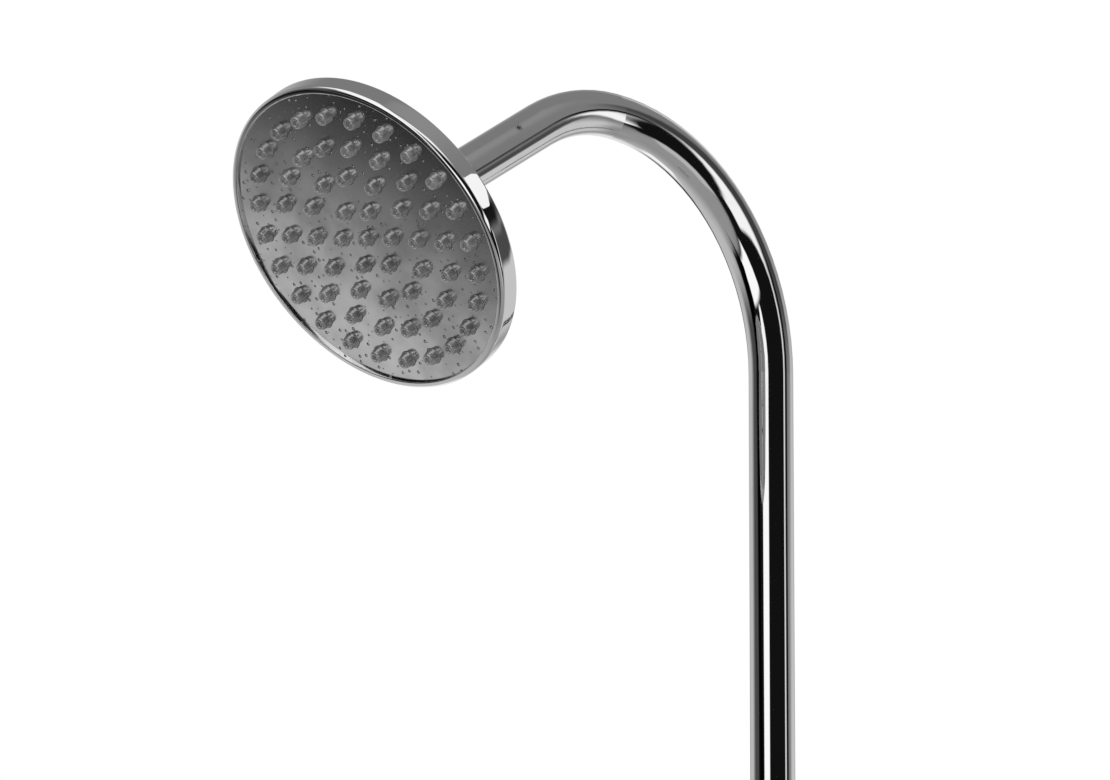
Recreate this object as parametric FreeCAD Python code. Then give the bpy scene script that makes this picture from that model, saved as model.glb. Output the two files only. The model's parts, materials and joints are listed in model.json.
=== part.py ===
import FreeCAD, Part
import math
import os

# Outdoor shower post: a round foot plate, an inlet block, two straight tubes with a stop valve
# between them, a gooseneck and a round head on a ball joint. Millimetres, Z up, the underside of
# the foot at z = 0 on the post's axis. The gooseneck reaches towards -Y, where the user stands.

Vector = FreeCAD.Vector

# ---------------------------------------------------------------- post and gooseneck tubes
tube_radius = 11.0
tube_wall = 1.2
bend_start_height = 2075.6
first_bend_radius = 114.5
first_bend_angle = 87.1
second_bend_radius = 84.6
second_bend_angle = 33.9
arm_length = 64.0
fit_clearance = 0.05
overshoot = 1.0

# ---------------------------------------------------------------- seals and grub screws
oring_section = 0.85
groove_width_ratio = 1.2
groove_overlap = 0.5
groove_floor_gap = 0.1
grub_radius = 2.0
grub_length = 3.4
grub_socket_radius = 1.0
grub_socket_depth = 1.6
grub_recess = 0.15

# ---------------------------------------------------------------- foot
gasket_thickness = 3.0
plate_radius = 150.0
plate_thickness = 8.0
plate_chamfer = 1.5
anchor_circle_radius = 125.0
anchor_hole_radius = 5.5
anchor_count = 4
anchor_start_angle = 45.0
foot_radius = 22.0
foot_height = 94.0
foot_socket_depth = 54.0
foot_edge_round = 2.0
foot_screw_circle_radius = 14.0
foot_screw_radius = 3.0
foot_screw_head_radius = 6.0
foot_screw_length = 20.0
foot_screw_count = 3
foot_screw_start_angle = 90.0
foot_screw_socket = 4.0
foot_screw_socket_depth = 2.4
foot_grub_count = 3
foot_grub_start_angle = 30.0
foot_grub_drop = 14.0
foot_seal_spacing = 7.0
waterway_radius = 7.0
rosette_radius = 48.0
rosette_height = 9.0
rosette_wall = 1.2
rosette_gap = 0.3
rosette_crown_share = 0.6
rosette_crown_rise = 0.72
rosette_bulge = 3.0
rosette_inner_bulge = 2.2

# ---------------------------------------------------------------- hose inlet
inlet_height = 38.0
port_thread_radius = 10.48
port_depth = 14.0
port_flat_depth = 1.0
port_flat_margin = 2.5
port_run_out = 1.0
hose_thread_radius = 13.22
hose_thread_length = 14.0
hose_thread_chamfer = 1.0
inlet_bore_radius = 7.5
inlet_hex_across_flats = 27.0
inlet_hex_length = 8.0
inlet_washer_thickness = 1.5
inlet_screen_radius = 9.0
inlet_screen_thickness = 1.0
inlet_screen_depth = 3.0
inlet_screen_hole_radius = 0.9
inlet_screen_pitch = 2.5

# ---------------------------------------------------------------- coupling in the post
coupling_height = 1500.0
coupling_radius = 14.0
coupling_length = 80.0
coupling_stop_width = 2.0
coupling_seal_offset = 12.0
coupling_grub_offset = 29.0
coupling_edge_round = 1.0
coupling_grub_recess = 0.2
coupling_socket_share = 0.6

# ---------------------------------------------------------------- stop valve
valve_height = 1085.0
valve_half_length = 44.0
valve_body_radius = 17.5
valve_socket_depth = 18.0
valve_thread_radius = 14.9
valve_thread_length = 13.0
nut_radius = 18.5
nut_length = 20.5
nut_floor = 4.0
nut_reach = 9.0
nut_edge_round = 1.2
nut_flat_reach = 17.5
nut_flat_start = 4.0
nut_flat_height = 9.0
olive_length = 4.4
olive_rise = 2.8
olive_end_wall = 0.8
branch_radius = 18.0
branch_length = 36.0
chamber_radius = 10.6
seat_offset = 1.0
inlet_way_offset = -5.0
inlet_way_radius = 4.5
outlet_way_offset = 6.0
outlet_way_radius = 4.0

# ---------------------------------------------------------------- ceramic cartridge and handle
running_gap = 0.08
disc_radius = 8.5
disc_thickness = 3.5
disc_port_radius = 2.2
disc_port_offset = 4.6
disc_gap = 0.05
cartridge_seal_thickness = 2.0
cartridge_seal_margin = 0.5
sleeve_radius = 9.4
sleeve_length = 15.0
cartridge_thread_radius = 10.43
cartridge_hex_across_flats = 23.0
cartridge_hex_length = 6.0
cartridge_neck_radius = 8.0
cartridge_neck_length = 5.0
cartridge_window_width = 6.0
driver_thickness = 3.0
driver_slot_width = 6.0
driver_web = 1.0
driver_gap = 0.1
spindle_radius = 4.0
spindle_end = 62.0
spindle_seal_place = 26.0
spindle_oring_section = 0.65
spindle_groove_half_width = 0.85
bonnet_length = 11.0
bonnet_wall = 2.0
bonnet_nose_radius = 15.5
bonnet_shoulder_drop = 0.6
bonnet_shoulder_share = 0.7
bonnet_hex_gap = 0.4
bonnet_neck_gap = 0.1
handle_gap = 1.0
handle_radius = 16.0
handle_length = 24.0
handle_edge_round = 3.0
handle_back_chamfer = 1.0
handle_spindle_fit = 0.02
lever_length = 78.0
lever_root_width = 17.0
lever_root_depth = 10.0
lever_tip_width = 12.0
lever_tip_depth = 6.5
lever_place = 13.0
lever_edge_round = 2.4
screw_radius = 2.0
screw_head_radius = 3.5
screw_head_height = 2.5
screw_grip = 10.0
screw_run_out = 0.5
screw_hole_gap = 0.2
screw_seat_floor = 2.5
screw_socket = 3.0
screw_socket_floor = 0.8
cap_radius = 5.5
cap_thickness = 3.0
cap_recess = 0.1

# ---------------------------------------------------------------- arm end and ball nut
nipple_insert = 52.0
nipple_bore_radius = 6.8
nipple_thread_length = 11.0
nipple_seal_place = 8.0
nipple_seal_section = 0.8
arm_screw_place = 43.0
arm_screw_angle = 36.0
arm_screw_hole_floor = 0.6
nut_washer_thickness = 2.0
nut_washer_bore = 7.0
nut_washer_gap = 0.15
filter_seat = 0.5
filter_thickness = 1.0
filter_hole_radius = 0.55
filter_pitch = 1.9
filter_rows = 3
ball_nut_recess = 2.0
ball_nut_tube_gap = 0.1
ball_nut_lip_radius = 11.9
ball_nut_shoulder_radius = 14.6
ball_nut_shoulder = 1.3
ball_nut_radius = 16.5
ball_nut_flare = 4.8
ball_nut_floor = 3.5
ball_neck_radius = 6.5
ball_neck_length = 15.5
ball_radius = 12.0
ball_waterway_radius = 4.0

# ---------------------------------------------------------------- swivel
swivel_droop = 5.0
seat_thickness = 1.45
seat_start_angle = 58.0
seat_end_angle = 100.0
collar_mouth_angle = 46.0
collar_radius = 19.0
collar_back = 11.5
collar_front = 12.0
collar_edge = 2.0
collar_grip_count = 12
collar_grip_radius = 1.6
collar_grip_sink = 0.9
collar_grip_back = 4.0
collar_grip_front = 3.0
neck_thread_radius = 16.0
neck_start = 2.5
neck_seal_start = 6.0
neck_seal_end = 10.5

# ---------------------------------------------------------------- shower head
head_radius = 80.0
head_depth = 36.0
rim_height = 11.4
rim_wall = 2.5
rim_front_round = 1.2
rim_back_round = 1.2
dome_top_radius = 18.5
dome_top = 18.0
dome_middle_radius = 50.0
dome_middle = 20.8
shell_step_gap = 1.0
shell_wall = 2.6
shell_shoulder = 3.5
lip_depth = 1.6
lip_crest_width = 0.3
lip_land = 0.3
lip_overlap = 0.9
face_plate_thickness = 1.5
mat_thickness = 2.0
backing_thickness = 3.0
plate_edge_gap = 0.1
mat_edge_gap = 0.4
head_bore_radius = 9.0
limiter_start = 14.0
limiter_thickness = 4.0
limiter_hole_radius = 0.9
limiter_hole_circle = 5.0
limiter_hole_count = 8
head_seal_section = 1.0
head_groove_ratio = 1.1

# ---------------------------------------------------------------- nozzles
nozzle_ring_pitch = 16.15
nozzle_ring_counts = (6, 12, 18, 24)
nozzle_ring_turns = (52.0, 19.6, 8.7, 4.1)
nozzle_flange_radius = 4.1
nozzle_flange_rise = 0.5
nozzle_root_radius = 3.4
nozzle_tip_radius = 2.6
nozzle_tip_round = 0.9
nozzle_height = 4.9
nozzle_bore_radius = 0.6
nozzle_root_sink = 0.5
nozzle_hole_clearance = 0.1
backing_port_radius = 2.5

# ---------------------------------------------------------------- worked out from the above
tube_bore = tube_radius - tube_wall
socket_radius = tube_radius + fit_clearance
plate_top = gasket_thickness + plate_thickness
foot_top = plate_top + foot_height
foot_socket_floor = foot_top - foot_socket_depth
arm_angle = first_bend_angle + second_bend_angle
valve_bottom = valve_height - valve_half_length
valve_top = valve_height + valve_half_length
ball_offset = nipple_thread_length + nut_washer_thickness + ball_nut_floor + ball_neck_length
face_front = head_depth
plate_front = face_front - lip_depth
plate_back = plate_front - face_plate_thickness
mat_back = plate_back - mat_thickness
backing_back = mat_back - backing_thickness
rim_back = head_depth - rim_height
pocket_radius = head_radius - rim_wall
nozzle_sites = [(0.0, 0.0)]
for ring, (count, turn) in enumerate(zip(nozzle_ring_counts, nozzle_ring_turns), start=1):
    for step in range(count):
        angle = math.radians(turn + 360.0 * step / count)
        nozzle_sites.append((
            nozzle_ring_pitch * ring * math.cos(angle),
            nozzle_ring_pitch * ring * math.sin(angle),
        ))


# ---------------------------------------------------------------- helpers
def cylinder(radius, low, high, x=0.0, y=0.0):
    return Part.makeCylinder(radius, high - low, Vector(x, y, low))


def ring(outer, inner, low, high, x=0.0, y=0.0):
    return cylinder(outer, low, high, x, y).cut(cylinder(inner, low - overshoot, high + overshoot, x, y))


def spun(start, *legs):
    """A solid turned about Z from a closed outline of (radius, height) points.

    A leg of one point is a line to it, and a leg of two is an arc through the first to the second.
    """
    edges = []
    here = Vector(start[0], 0, start[1])
    first = here
    for leg in legs + (start,):
        if isinstance(leg[0], tuple):
            middle = Vector(leg[0][0], 0, leg[0][1])
            there = Vector(leg[1][0], 0, leg[1][1])
            edges.append(Part.Arc(here, middle, there).toShape())
        else:
            there = Vector(leg[0], 0, leg[1])
            if there.distanceToPoint(here) < 1e-6:
                continue
            edges.append(Part.LineSegment(here, there).toShape())
        here = there
    assert here.distanceToPoint(first) < 1e-6
    face = Part.Face(Part.Wire(edges))
    return face.revolve(Vector(0, 0, 0), Vector(0, 0, 1), 360.0)


def hexagon(across_flats, low, high):
    corner = across_flats / math.sqrt(3.0)
    points = []
    for step in range(7):
        turn = math.radians(60.0 * step)
        points.append(Vector(corner * math.cos(turn), corner * math.sin(turn), low))
    return Part.Face(Part.makePolygon(points)).extrude(Vector(0, 0, high - low))


def oring(inner_radius, section, height):
    return Part.makeTorus(inner_radius + section, section, Vector(0, 0, height))


def turned(shape, angle, place):
    """The shape with its own Z tipped about X by the angle, then moved to its place."""
    moved = shape.copy()
    tipped = FreeCAD.Placement(place, FreeCAD.Rotation(Vector(1, 0, 0), angle))
    moved.Placement = tipped.multiply(shape.Placement)
    return moved


def radial(shape, angle, height):
    """The shape, drawn along +Z from the axis outwards, laid along a radius at a height."""
    laid = shape.copy()
    laid.rotate(Vector(0, 0, 0), Vector(0, 1, 0), 90.0)
    laid.rotate(Vector(0, 0, 0), Vector(0, 0, 1), angle)
    laid.translate(Vector(0, 0, height))
    return laid


def grub_screw(outer_end):
    body = cylinder(grub_radius, outer_end - grub_length, outer_end)
    return body.cut(hexagon(2.0 * grub_socket_radius, outer_end - grub_socket_depth, outer_end + overshoot))


def grub_hole(outer_end):
    return cylinder(grub_radius + fit_clearance, outer_end - grub_length, outer_end + nut_length)


def on_circle(count, radius, start=0.0):
    spots = []
    for step in range(count):
        turn = math.radians(start + 360.0 * step / count)
        spots.append((radius * math.cos(turn), radius * math.sin(turn)))
    return spots


def export(shape, node):
    assert shape.isValid(), node
    shape.exportStep("parts/" + node + ".step")


# ---------------------------------------------------------------- foot
def make_base_gasket():
    gasket = cylinder(plate_radius, 0.0, gasket_thickness)
    for x, y in on_circle(anchor_count, anchor_circle_radius, anchor_start_angle):
        gasket = gasket.cut(cylinder(anchor_hole_radius, -overshoot, gasket_thickness + overshoot, x, y))
    return gasket


def make_base_plate():
    plate = cylinder(plate_radius, gasket_thickness, plate_top)
    rims = [edge for edge in plate.Edges if edge.BoundBox.ZMin > plate_top - 0.01]
    plate = plate.makeChamfer(plate_chamfer, rims)
    for x, y in on_circle(anchor_count, anchor_circle_radius, anchor_start_angle):
        plate = plate.cut(cylinder(anchor_hole_radius, -overshoot, plate_top + overshoot, x, y))
    for x, y in foot_screw_places():
        plate = plate.cut(foot_screw(x, y, fit_clearance))
    return plate


def foot_screw_places():
    return on_circle(foot_screw_count, foot_screw_circle_radius, foot_screw_start_angle)


def foot_screw(x, y, extra):
    head = foot_screw_head_radius - foot_screw_radius
    low = gasket_thickness
    shank = cylinder(foot_screw_radius + extra, low, low + foot_screw_length + extra, x, y)
    cone = Part.makeCone(foot_screw_head_radius + extra, foot_screw_radius + extra, head, Vector(x, y, low))
    return shank.fuse(cone)


def make_base_screws():
    screws = []
    for x, y in foot_screw_places():
        floor = gasket_thickness + foot_screw_socket_depth
        recess = hexagon(foot_screw_socket, gasket_thickness - overshoot, floor)
        recess.translate(Vector(x, y, 0))
        screws.append(foot_screw(x, y, 0.0).cut(recess))
    return Part.makeCompound(screws)


def foot_seal_heights():
    low = foot_socket_floor + foot_seal_spacing
    return (low, low + foot_seal_spacing)


def make_foot_body():
    foot = cylinder(foot_radius, plate_top, foot_top)
    rims = [edge for edge in foot.Edges if edge.BoundBox.ZMin > foot_top - 0.01]
    foot = foot.makeFillet(foot_edge_round, rims)
    foot = foot.cut(cylinder(socket_radius, foot_socket_floor, foot_top + overshoot))
    foot = foot.cut(cylinder(waterway_radius, inlet_height, foot_socket_floor + overshoot))
    port = cylinder(port_thread_radius, foot_radius - port_depth, foot_radius + overshoot)
    foot = foot.cut(turned(port, -90.0, Vector(0, 0, inlet_height)))
    way = cylinder(waterway_radius, 0.0, foot_radius - port_depth + overshoot)
    foot = foot.cut(turned(way, -90.0, Vector(0, 0, inlet_height)))
    flat = cylinder(hose_thread_radius + port_flat_margin, inlet_face(), foot_radius + overshoot)
    foot = foot.cut(turned(flat, -90.0, Vector(0, 0, inlet_height)))
    for height in foot_seal_heights():
        foot = foot.cut(seal_groove(height))
    for x, y in foot_screw_places():
        foot = foot.cut(foot_screw(x, y, fit_clearance))
    for step in range(foot_grub_count):
        hole = grub_hole(socket_radius + grub_length)
        foot = foot.cut(radial(hole, foot_grub_turn(step), foot_top - foot_grub_drop))
    return foot


def foot_grub_turn(step):
    return foot_grub_start_angle + 360.0 * step / foot_grub_count


def seal_groove(height):
    outer = socket_radius + 2.0 * oring_section + fit_clearance
    half = groove_width_ratio * oring_section
    return ring(outer, socket_radius - groove_overlap, height - half, height + half)


def make_foot_orings():
    return Part.makeCompound([oring(socket_radius, oring_section, z) for z in foot_seal_heights()])


def make_foot_grub_screws():
    screws = []
    for step in range(foot_grub_count):
        screw = grub_screw(socket_radius + grub_length)
        screws.append(radial(screw, foot_grub_turn(step), foot_top - foot_grub_drop))
    return Part.makeCompound(screws)


def make_base_rosette():
    inner = foot_radius + rosette_gap
    low = plate_top
    top = low + rosette_height
    wall = rosette_wall
    middle = rosette_crown_share * rosette_radius + (1.0 - rosette_crown_share) * inner
    crown = low + rosette_crown_rise * rosette_height
    return spun(
        (rosette_radius, low),
        ((middle + rosette_bulge, crown), (inner + wall, top)),
        (inner, top),
        (inner, top - wall),
        ((middle + rosette_inner_bulge, crown - wall), (rosette_radius - 1.4 * wall, low)),
    )


# ---------------------------------------------------------------- hose inlet, drawn along its own axis
def inlet_face():
    return foot_radius - port_flat_depth


def make_inlet_nipple():
    flange = inlet_face() + inlet_washer_thickness
    thread_start = flange + inlet_hex_length
    tip = thread_start + hose_thread_length
    body = cylinder(port_thread_radius - fit_clearance, foot_radius - port_depth + port_run_out, flange)
    body = body.fuse(hexagon(inlet_hex_across_flats, flange, thread_start))
    stub = cylinder(hose_thread_radius, thread_start, tip)
    rims = [edge for edge in stub.Edges if edge.BoundBox.ZMin > tip - 0.01]
    body = body.fuse(stub.makeChamfer(hose_thread_chamfer, rims))
    body = body.cut(cylinder(inlet_bore_radius, 0.0, tip + overshoot))
    body = body.cut(cylinder(inlet_screen_radius + fit_clearance, tip - inlet_screen_depth, tip + overshoot))
    return turned(body, -90.0, Vector(0, 0, inlet_height))


def make_inlet_washer():
    low = inlet_face()
    washer = ring(hose_thread_radius, port_thread_radius, low, low + inlet_washer_thickness)
    return turned(washer, -90.0, Vector(0, 0, inlet_height))


def perforated(radius, low, high, hole, pitch, rows):
    """A round disc with rings of round holes."""
    disc = cylinder(radius, low, high)
    holes = [cylinder(hole, low - overshoot, high + overshoot)]
    for row in range(1, rows + 1):
        for x, y in on_circle(6 * row, pitch * row):
            holes.append(cylinder(hole, low - overshoot, high + overshoot, x, y))
    return disc.cut(Part.makeCompound(holes))


def make_inlet_screen():
    tip = inlet_face() + inlet_washer_thickness + inlet_hex_length + hose_thread_length
    low = tip - inlet_screen_depth
    high = low + inlet_screen_thickness
    screen = perforated(inlet_screen_radius, low, high, inlet_screen_hole_radius, inlet_screen_pitch, 2)
    return turned(screen, -90.0, Vector(0, 0, inlet_height))


# ---------------------------------------------------------------- straight tubes and coupling
def make_lower_tube():
    return ring(tube_radius, tube_bore, foot_socket_floor, valve_bottom + valve_socket_depth)


def make_riser_tube():
    low = valve_top - valve_socket_depth
    return ring(tube_radius, tube_bore, low, coupling_height - 0.5 * coupling_stop_width)


def make_coupling():
    low = coupling_height - 0.5 * coupling_length
    high = coupling_height + 0.5 * coupling_length
    stop = 0.5 * coupling_stop_width
    sleeve = cylinder(coupling_radius, low, high)
    rims = [edge for edge in sleeve.Edges if len(edge.Vertexes) == 1]
    sleeve = sleeve.makeFillet(coupling_edge_round, rims)
    sleeve = sleeve.cut(cylinder(tube_bore, low - overshoot, high + overshoot))
    sleeve = sleeve.cut(cylinder(socket_radius, coupling_height + stop, high + overshoot))
    sleeve = sleeve.cut(cylinder(socket_radius, low - overshoot, coupling_height - stop))
    for side in (-1, 1):
        sleeve = sleeve.cut(seal_groove(coupling_height + side * coupling_seal_offset))
        hole = grub_hole(coupling_radius)
        sleeve = sleeve.cut(radial(hole, 90.0, coupling_height + side * coupling_grub_offset))
    return sleeve


def make_coupling_orings():
    heights = [coupling_height + side * coupling_seal_offset for side in (-1, 1)]
    return Part.makeCompound([oring(socket_radius, oring_section, height) for height in heights])


def make_coupling_screws():
    length = coupling_radius - socket_radius
    screws = []
    for side in (-1, 1):
        body = cylinder(grub_radius, socket_radius, coupling_radius - coupling_grub_recess)
        floor = coupling_radius - coupling_socket_share * length
        socket = hexagon(2.0 * grub_socket_radius, floor, coupling_radius + overshoot)
        screws.append(radial(body.cut(socket), 90.0, coupling_height + side * coupling_grub_offset))
    return Part.makeCompound(screws)


# ---------------------------------------------------------------- stop valve
def mirrored_below(shape):
    return shape.mirror(Vector(0, 0, valve_height), Vector(0, 0, 1))


def make_valve_body():
    body = cylinder(valve_body_radius, valve_bottom + valve_thread_length, valve_top - valve_thread_length)
    body = body.fuse(cylinder(valve_thread_radius, valve_bottom, valve_top))
    branch = cylinder(branch_radius, 0.0, branch_length)
    body = body.fuse(turned(branch, 90.0, Vector(0, 0, valve_height))).removeSplitter()
    body = body.cut(cylinder(socket_radius, valve_bottom - overshoot, valve_bottom + valve_socket_depth))
    body = body.cut(cylinder(socket_radius, valve_top - valve_socket_depth, valve_top + overshoot))
    chamber = cylinder(chamber_radius, seat_offset, branch_length + overshoot)
    body = body.cut(turned(chamber, 90.0, Vector(0, 0, valve_height)))
    way_in = cylinder(inlet_way_radius, inlet_way_offset, seat_offset + overshoot)
    body = body.cut(turned(way_in, 90.0, Vector(0, 0, valve_height)))
    rise = cylinder(inlet_way_radius, valve_bottom, valve_height, 0.0, -inlet_way_offset)
    body = body.cut(rise)
    way_out = cylinder(outlet_way_radius, valve_height, valve_top, 0.0, -outlet_way_offset)
    return body.cut(way_out)


def make_compression_nuts():
    low = valve_top - nut_reach
    high = low + nut_length
    nut = cylinder(nut_radius, low, high)
    nut = nut.makeFillet(nut_edge_round, [edge for edge in nut.Edges if edge.BoundBox.ZMin > high - 0.01])
    nut = nut.cut(cylinder(valve_thread_radius + fit_clearance, low - overshoot, high - nut_floor))
    nut = nut.cut(cylinder(socket_radius + fit_clearance, low, high + overshoot))
    for start in (nut_flat_reach, -nut_flat_reach - nut_radius):
        corner = Vector(start, -nut_radius, low + nut_flat_start)
        nut = nut.cut(Part.makeBox(nut_radius, 2.0 * nut_radius, nut_flat_height, corner))
    return Part.makeCompound([nut, mirrored_below(nut)])


def make_compression_olives():
    low = valve_top
    high = low + olive_length
    middle = 0.5 * (low + high)
    inner = socket_radius
    thin = inner + olive_end_wall
    crown = inner + olive_rise
    olive = spun((inner, low), (thin, low), (crown, middle), (thin, high), (inner, high))
    return Part.makeCompound([olive, mirrored_below(olive)])


def valve_place(shape):
    return turned(shape, 90.0, Vector(0, 0, valve_height))


def stack():
    """Heights of the cartridge's pieces along the branch."""
    fixed = seat_offset + cartridge_seal_thickness
    moving = fixed + disc_thickness + disc_gap
    driver = moving + disc_thickness
    neck = driver + driver_thickness + running_gap
    return fixed, moving, driver, neck


def make_cartridge_seal():
    outer = disc_radius + cartridge_seal_margin
    inner = inlet_way_radius + cartridge_seal_margin
    return valve_place(ring(outer, inner, seat_offset, seat_offset + cartridge_seal_thickness))


def disc(low, across):
    plate = cylinder(disc_radius, low, low + disc_thickness)
    for side in (-1, 1):
        x = side * disc_port_offset * across[0]
        y = side * disc_port_offset * across[1]
        plate = plate.cut(cylinder(disc_port_radius, low - overshoot, low + disc_thickness + overshoot, x, y))
    return plate


def make_fixed_disc():
    return valve_place(disc(stack()[0], (1, 0)))


def make_moving_disc():
    return valve_place(disc(stack()[1], (0, 1)))


def make_cartridge_body():
    fixed = stack()[0]
    driver, neck = stack()[2:]
    hex_top = branch_length + cartridge_hex_length
    body = cylinder(sleeve_radius, fixed, fixed + sleeve_length)
    body = body.fuse(cylinder(cartridge_thread_radius, fixed + sleeve_length, branch_length))
    body = body.fuse(hexagon(cartridge_hex_across_flats, branch_length, hex_top))
    body = body.fuse(cylinder(cartridge_neck_radius, hex_top, hex_top + cartridge_neck_length))
    body = body.removeSplitter()
    body = body.cut(cylinder(disc_radius + running_gap, fixed - overshoot, neck))
    tip = hex_top + cartridge_neck_length + overshoot
    body = body.cut(cylinder(spindle_radius + running_gap, neck - overshoot, tip))
    reach = 2.0 * sleeve_radius
    corner = Vector(-reach, -0.5 * cartridge_window_width, driver)
    window = Part.makeBox(2.0 * reach, cartridge_window_width, driver_thickness, corner)
    return valve_place(body.cut(window))


def make_valve_spindle():
    driver = stack()[2]
    spindle = cylinder(disc_radius - driver_gap, driver, driver + driver_thickness)
    reach = 2.0 * disc_radius
    corner = Vector(-0.5 * driver_slot_width, -reach, driver)
    slot = Part.makeBox(driver_slot_width, 2.0 * reach, driver_thickness - driver_web, corner)
    spindle = spindle.cut(slot)
    spindle = spindle.fuse(cylinder(spindle_radius, driver + driver_thickness, spindle_end))
    floor = spindle_radius - 2.0 * spindle_oring_section - groove_floor_gap
    low = spindle_seal_place - spindle_groove_half_width
    high = spindle_seal_place + spindle_groove_half_width
    spindle = spindle.cut(ring(spindle_radius + overshoot, floor, low, high))
    low = spindle_end - screw_grip - screw_run_out
    bore = cylinder(screw_radius + fit_clearance, low, spindle_end + overshoot)
    return valve_place(spindle.cut(bore))


def make_spindle_oring():
    inner = spindle_radius - 2.0 * spindle_oring_section - fit_clearance
    return valve_place(oring(inner, spindle_oring_section, spindle_seal_place))


def bonnet_top():
    return branch_length + bonnet_length


def make_bonnet_ring():
    low = branch_length
    high = bonnet_top()
    hollow = cartridge_hex_across_flats / math.sqrt(3.0) + bonnet_hex_gap
    neck = cartridge_neck_radius + bonnet_neck_gap
    shoulder = low + bonnet_shoulder_share * bonnet_length
    ring_solid = spun(
        (hollow, low),
        (branch_radius, low),
        ((branch_radius - bonnet_shoulder_drop, shoulder), (bonnet_nose_radius, high)),
        (neck, high),
        (neck, high - bonnet_wall),
        (hollow, high - bonnet_wall),
    )
    return valve_place(ring_solid)


def make_valve_handle():
    low = bonnet_top() + handle_gap
    high = low + handle_length
    edge = handle_edge_round
    bend = edge * (1.0 - math.sqrt(0.5))
    hub = spun(
        (0.0, low),
        (handle_radius - handle_back_chamfer, low),
        (handle_radius, low + handle_back_chamfer),
        (handle_radius, high - edge),
        ((handle_radius - bend, high - bend), (handle_radius - edge, high)),
        (0.0, high),
    )
    lever = make_lever(low + lever_place)
    hub = hub.fuse(lever).removeSplitter()
    hub = hub.cut(cylinder(spindle_radius + handle_spindle_fit, low - overshoot, spindle_end))
    hub = hub.cut(cylinder(screw_radius + screw_hole_gap, low, high))
    hub = hub.cut(cylinder(cap_radius + fit_clearance, screw_seat(), high + overshoot))
    return valve_place(hub)


def screw_seat():
    return spindle_end + screw_seat_floor


def make_lever(place):
    def section(y, width, depth):
        corners = [(-1, -1), (1, -1), (1, 1), (-1, 1), (-1, -1)]
        points = [Vector(0.5 * width * a, y, place + 0.5 * depth * b) for a, b in corners]
        return Part.makePolygon(points)
    root = section(0.0, lever_root_width, lever_root_depth)
    tip = section(-lever_length, lever_tip_width, lever_tip_depth)
    lever = Part.makeLoft([root, tip], True, True)
    edges = [edge for edge in lever.Edges if edge.BoundBox.YMin < -lever_edge_round]
    return lever.makeFillet(lever_edge_round, edges)


def make_handle_screw():
    seat = screw_seat()
    screw = cylinder(screw_radius, spindle_end - screw_grip, seat)
    screw = screw.fuse(cylinder(screw_head_radius, seat, seat + screw_head_height))
    socket = hexagon(screw_socket, seat + screw_socket_floor, seat + screw_head_height + overshoot)
    return valve_place(screw.cut(socket))


def make_handle_cap():
    high = bonnet_top() + handle_gap + handle_length
    return valve_place(cylinder(cap_radius, high - cap_thickness, high - cap_recess))


# ---------------------------------------------------------------- gooseneck
def arc_points(centre_y, centre_z, radius, start, sweep):
    """Start, middle and end of a bend that starts at an angle from straight up."""
    points = []
    for share in (0.0, 0.5, 1.0):
        turn = math.radians(start + share * sweep)
        points.append(Vector(0, centre_y + radius * math.cos(turn), centre_z + radius * math.sin(turn)))
    return points


def gooseneck_route():
    """The centre line from the coupling to the arm's end."""
    first = arc_points(-first_bend_radius, bend_start_height, first_bend_radius, 0.0, first_bend_angle)
    turn = math.radians(first_bend_angle)
    shift = first_bend_radius - second_bend_radius
    centre_y = -first_bend_radius + shift * math.cos(turn)
    centre_z = bend_start_height + shift * math.sin(turn)
    second = arc_points(centre_y, centre_z, second_bend_radius, first_bend_angle, second_bend_angle)
    along = Vector(0, -math.sin(math.radians(arm_angle)), math.cos(math.radians(arm_angle)))
    end = second[2] + along * arm_length
    foot = Vector(0, 0, coupling_height + 0.5 * coupling_stop_width)
    return foot, first, second, end, along


def make_gooseneck_tube():
    foot, first, second, end = gooseneck_route()[:4]
    route = Part.Wire([
        Part.LineSegment(foot, first[0]).toShape(),
        Part.Arc(*first).toShape(),
        Part.Arc(*second).toShape(),
        Part.LineSegment(second[2], end).toShape(),
    ])
    walls = []
    for radius in (tube_radius, tube_bore):
        outline = Part.Wire([Part.Circle(foot, Vector(0, 0, 1), radius).toShape()])
        walls.append(route.makePipeShell([outline], True, False))
    tube = walls[0].cut(walls[1])
    return tube.cut(arm_place(arm_screw_hole()))


def pivot():
    end, along = gooseneck_route()[3:]
    return end + along * ball_offset


def arm_place(shape):
    """From a frame with the tube's end at 0 and +Z out of the arm."""
    return turned(shape, arm_angle, gooseneck_route()[3])


def head_place(shape):
    """From a frame with the ball's centre at 0 and +Z towards the spray face."""
    return turned(shape, arm_angle + swivel_droop, pivot())


def arm_screw_hole():
    floor = nipple_bore_radius + arm_screw_hole_floor
    hole = cylinder(grub_radius + fit_clearance, floor, tube_radius + overshoot)
    return radial(hole, arm_screw_angle, -arm_screw_place)


def make_arm_set_screw():
    floor = nipple_bore_radius + arm_screw_hole_floor
    screw = cylinder(grub_radius, floor, tube_radius - grub_recess)
    socket = hexagon(2.0 * grub_socket_radius, tube_radius - grub_socket_depth, tube_radius + overshoot)
    return arm_place(radial(screw.cut(socket), arm_screw_angle, -arm_screw_place))


def make_arm_nipple():
    shank = tube_bore - fit_clearance
    thread = port_thread_radius - fit_clearance
    nipple = cylinder(shank, -nipple_insert, 0.0).fuse(cylinder(thread, 0.0, nipple_thread_length))
    bore = cylinder(nipple_bore_radius, -nipple_insert - overshoot, nipple_thread_length + overshoot)
    nipple = nipple.cut(bore)
    half = groove_width_ratio * nipple_seal_section
    floor = shank - 2.0 * nipple_seal_section - groove_floor_gap
    groove = ring(shank + overshoot, floor, -nipple_seal_place - half, -nipple_seal_place + half)
    nipple = nipple.cut(groove)
    return arm_place(nipple.cut(arm_screw_hole()))


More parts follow.
